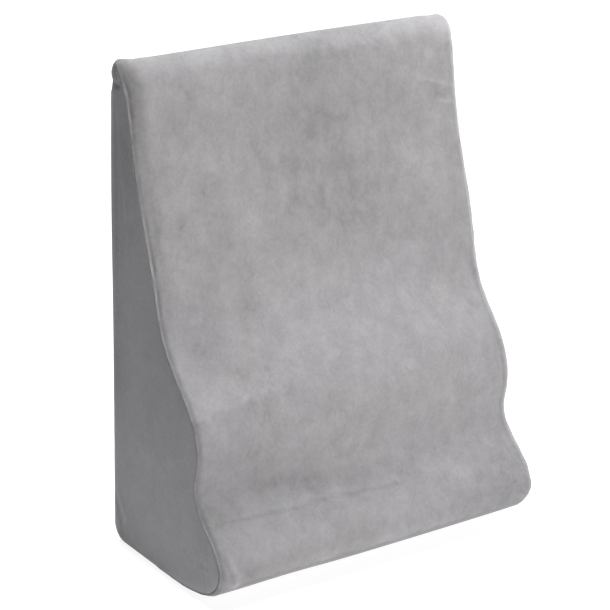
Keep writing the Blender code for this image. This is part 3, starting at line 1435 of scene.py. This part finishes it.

# The depth of a Swelling or a Fold is here the share of the tone that it adds. The tones are the nap's own
# patches together with painted shade and painted highlights.
TONES: list[Relief] = [
    # Broad tones of the wrap: the nap's own patches, with painted shade in the dimples and troughs by the
    # top-left corner and beside the seam, and a painted highlight on the right end of the top.
    *marks(
        Swelling, Face.WRAP,
        # the top
        (-0.296, 0.8, 0.014, 0.01, -0.36),
        (0.02, 0.785, 0.09, 0.02, -0.14),
        (-0.294, 0.776, 0.012, 0.014, -0.22),
        (0.3, 0.775, 0.06, 0.035, 0.4),
        (0.23, 0.772, 0.02, 0.015, 0.14),
        (-0.297, 0.74, 0.015, 0.05, -0.52),
        (-0.285, 0.74, 0.02, 0.03, 0.12),
        (-0.272, 0.72, 0.014, 0.07, 0.2),
        (0.115, 0.715, 0.035, 0.025, 0.14),
        # the back rest
        (0.272, 0.672, 0.022, 0.009, -0.22),
        (0.25, 0.65, 0.05, 0.05, -0.11),
        (0.03, 0.64, 0.12, 0.15, -0.32),
        (-0.14, 0.64, 0.03, 0.03, 0.09),
        (-0.304, 0.6, 0.01, 0.08, -0.14),
        (-0.03, 0.6, 0.04, 0.028, -0.16),
        (-0.23, 0.54, 0.06, 0.05, -0.14),
        (0.1, 0.525, 0.09, 0.045, -0.2),
        (-0.285, 0.52, 0.02, 0.05, 0.16),
        # the hollow and the lumbar swell
        (-0.09, 0.48, 0.03, 0.02, 0.1),
        (0.13, 0.48, 0.05, 0.025, -0.12),
        (-0.1, 0.47, 0.07, 0.03, 0.1),
        (0.24, 0.465, 0.09, 0.045, -0.15),
        (-0.21, 0.445, 0.04, 0.03, -0.12),
        (0.0, 0.425, 0.14, 0.045, 0.2),
        (0.3, 0.4, 0.03, 0.25, -0.08),
        (0.18, 0.38, 0.04, 0.03, 0.12),
        (-0.24, 0.375, 0.05, 0.035, -0.18),
        (0.29, 0.34, 0.04, 0.14, -0.18),
        # the waist
        (0.21, 0.285, 0.05, 0.025, -0.12),
        (-0.285, 0.225, 0.02, 0.04, 0.12),
        (0.0, 0.2, 0.12, 0.05, 0.14),
        (-0.24, 0.18, 0.05, 0.06, -0.18),
        (0.2, 0.175, 0.05, 0.03, 0.12),
        (0.04, 0.16, 0.05, 0.012, 0.14),
        (0.0, 0.158, 0.03, 0.014, 0.12),
        (0.04, 0.121, 0.009, 0.006, -0.22),
        # the toe
        (-0.1, 0.112, 0.2, 0.022, -0.12),
        (0.25, 0.11, 0.08, 0.03, -0.22),
        (-0.304, 0.1, 0.014, 0.2, -0.24),
        (-0.283, 0.074, 0.008, 0.01, 0.2),
        (0.09, 0.065, 0.03, 0.02, 0.17),
        (-0.248, 0.052, 0.022, 0.012, -0.24),
        (-0.26, 0.046, 0.014, 0.006, -0.24),
        (-0.268, 0.04, 0.01, 0.008, 0.34),
        (0.24, 0.03, 0.12, 0.06, -0.46),
    ),
    # Painted highlights along the back rest's ridges, the seam's ridge and the right edge, and painted shade
    # in the troughs beside the seam, in the waist's creases and along the toe's bottom edge.
    *marks(
        Fold, Face.WRAP,
        # the top
        (0.068, 0.758, 0.06, 0.72, -0.16, 0.006),
        (-0.3005, 0.705, -0.3005, 0.765, 0.18, 0.0022),
        # the back rest
        (0.225, 0.703, 0.29, 0.682, 0.26, 0.0036),
        (0.25, 0.664, 0.295, 0.655, 0.24, 0.0034),
        (-0.3, 0.6, -0.3, 0.7, -0.22, 0.0034),
        (0.165, 0.72, 0.135, 0.52, -0.13, 0.0055),
        # the waist
        (-0.17, 0.1565, -0.04, 0.1495, -0.08, 0.004),
        (-0.285, 0.131, -0.09, 0.1245, -0.16, 0.0024, -0.002),
        (-0.13, 0.127, 0.085, 0.1185, -0.13, 0.0026),
        (-0.2955, 0.14, -0.2955, 0.1, -0.1, 0.0016),
        # the toe
        (-0.3, 0.15, -0.3, 0.086, 0.28, 0.0024),
        (-0.29, 0.033, 0.3, 0.033, -0.14, 0.004),
        # along the side edges
        (0.3015, 0.07, 0.3015, 0.74, 0.34, 0.0036),
        (0.2885, 0.08, 0.2885, 0.43, -0.2, 0.0026),
    ),
    # Painted shade in the waist's crease and along the underside of the toe; lighter above lines on the
    # lumbar swell and the top, partly the nap brushed up and partly painted light on faces that turn up to
    # the light.
    *marks(
        NapAndPaintedLightLine, Face.WRAP,
        # the top
        (-0.08, 0.77, 0.3, 0.764, 0.13, -0.12, 0.024, 0.009),
        # the waist
        (-0.3, 0.285, -0.18, 0.296, 0.16, -0.16, 0.045),
        (-0.2, 0.16, 0.08, 0.133, -0.17, -0.17, 0.014),
        # the toe
        (-0.3, 0.035, 0.3, 0.035, 0.0, -0.5, 0.2, 0.01),
    ),
    # Painted shade along the bottom edge and beside the top corner, among the nap's own patches.
    *marks(
        Swelling, Face.LEFT,
        (0.145, 0.767, 0.02, 0.018, -0.34),
        (-0.138, 0.06, 0.022, 0.035, 0.36),
        (0.1, 0.655, 0.04, 0.06, -0.28),
        (0.152, 0.27, 0.03, 0.08, -0.28),
        (0.05, 0.18, 0.08, 0.06, 0.15),
        (-0.09, 0.2, 0.045, 0.12, 0.18),
        (0.134, 0.01, 0.016, 0.012, -0.7),
        (0.05, 0.004, 0.12, 0.034, -0.42),
        (0.14, 0.33, 0.02, 0.06, -0.12),
        (-0.1, 0.155, 0.03, 0.03, 0.13),
        (0.105, 0.755, 0.02, 0.02, 0.12),
    ),
    # Painted shade and highlights along the folds at the toe and at the lower back corner, and painted shade
    # along the bottom edge.
    *marks(
        Fold, Face.LEFT,
        (-0.132, 0.032, -0.122, 0.1, -0.5, 0.002),
        (-0.12, 0.026, -0.102, 0.118, -0.36, 0.0024),
        (-0.108, 0.026, -0.09, 0.12, -0.2, 0.0024),
        (-0.14, 0.042, -0.138, 0.088, 0.34, 0.004),
        (0.147, 0.082, 0.12, 0.022, -0.62, 0.0044),
        (0.144, 0.09, 0.106, 0.036, 0.56, 0.0034),
        (0.134, 0.096, 0.112, 0.064, -0.4, 0.0044),
        (0.116, 0.013, 0.082, 0.011, -0.62, 0.006),
        (0.082, 0.011, -0.02, 0.015, -0.24, 0.005),
    ),
    # Painted light: both side panels darker high at the back and lighter low at the front, where the floor's
    # light falls on them.
    *(
        tone
        for face in (Face.LEFT, Face.RIGHT)
        for tone in marks(Swelling, face, (0.17, 0.6, 0.06, 0.26, -0.55), (-0.03, 0.03, 0.15, 0.14, 0.42))
    ),
]

LIGHTS = (
    StudioLight("top_light", 0.0, 88.0, 3.5, (2.0, 2.0), 131.0, (0.962, 0.984, 1.0)),
    StudioLight("key_light", 31.0, 8.0, 3.5, (2.0, 2.0), 92.0),
    StudioLight("back_light", 150.0, 62.0, 3.5, (2.0, 2.0), 70.0),
    StudioLight("rim_light", 100.0, 12.0, 3.5, (0.8, 2.0), 60.0, (0.88, 0.94, 1.0)),
)

WRAP_VELOUR = Velour(
    "wrap_velour_finish",
    deep=(0.2205, 0.2136, 0.2157),
    pale=(0.3650, 0.3526, 0.3565),
    patch=0.18,
    cloud=0.32,
    swirl=0.38,
    thread=0.16,
    grain=0.10,
    crease=0.14,
    cool=(0.982, 0.981, 1.0),
)

# The side panels' velour: the wrap's fabric made darker, partly for its nap running the other way and partly
# as painted shade on the sides.
SIDE_VELOUR_NAP_AND_SHADE = Velour(
    "side_velour_nap_and_shade_finish",
    deep=(0.2066, 0.2050, 0.2120),
    pale=(0.3420, 0.3400, 0.3515),
    patch=0.09,
    cloud=0.14,
    swirl=0.19,
    thread=0.18,
    grain=0.22,
    shift=3.7,
)


def main() -> None:
    """Builds the pillow and the studio, in order."""
    logging.basicConfig(level=logging.INFO, format="%(message)s")
    low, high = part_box("wedge_body")
    pillow = WedgePillow(
        width=high.x - low.x + 2 * WedgePillow.gap,
        depth=high.y - low.y - Cover.front_crown,
        height=high.z - low.z,
        back=high.y,
        seams=SEAMS,
        folds=FOLDS,
        pulls=PULLS,
        tones=TONES,
    )
    pillow.dress(WRAP_VELOUR, SIDE_VELOUR_NAP_AND_SHADE)
    studio = Studio(back=high.y, lights=LIGHTS)
    studio.set_up(Vector((0.0, 0.0, pillow.height / 2)))


if __name__ == "__main__":
    main()
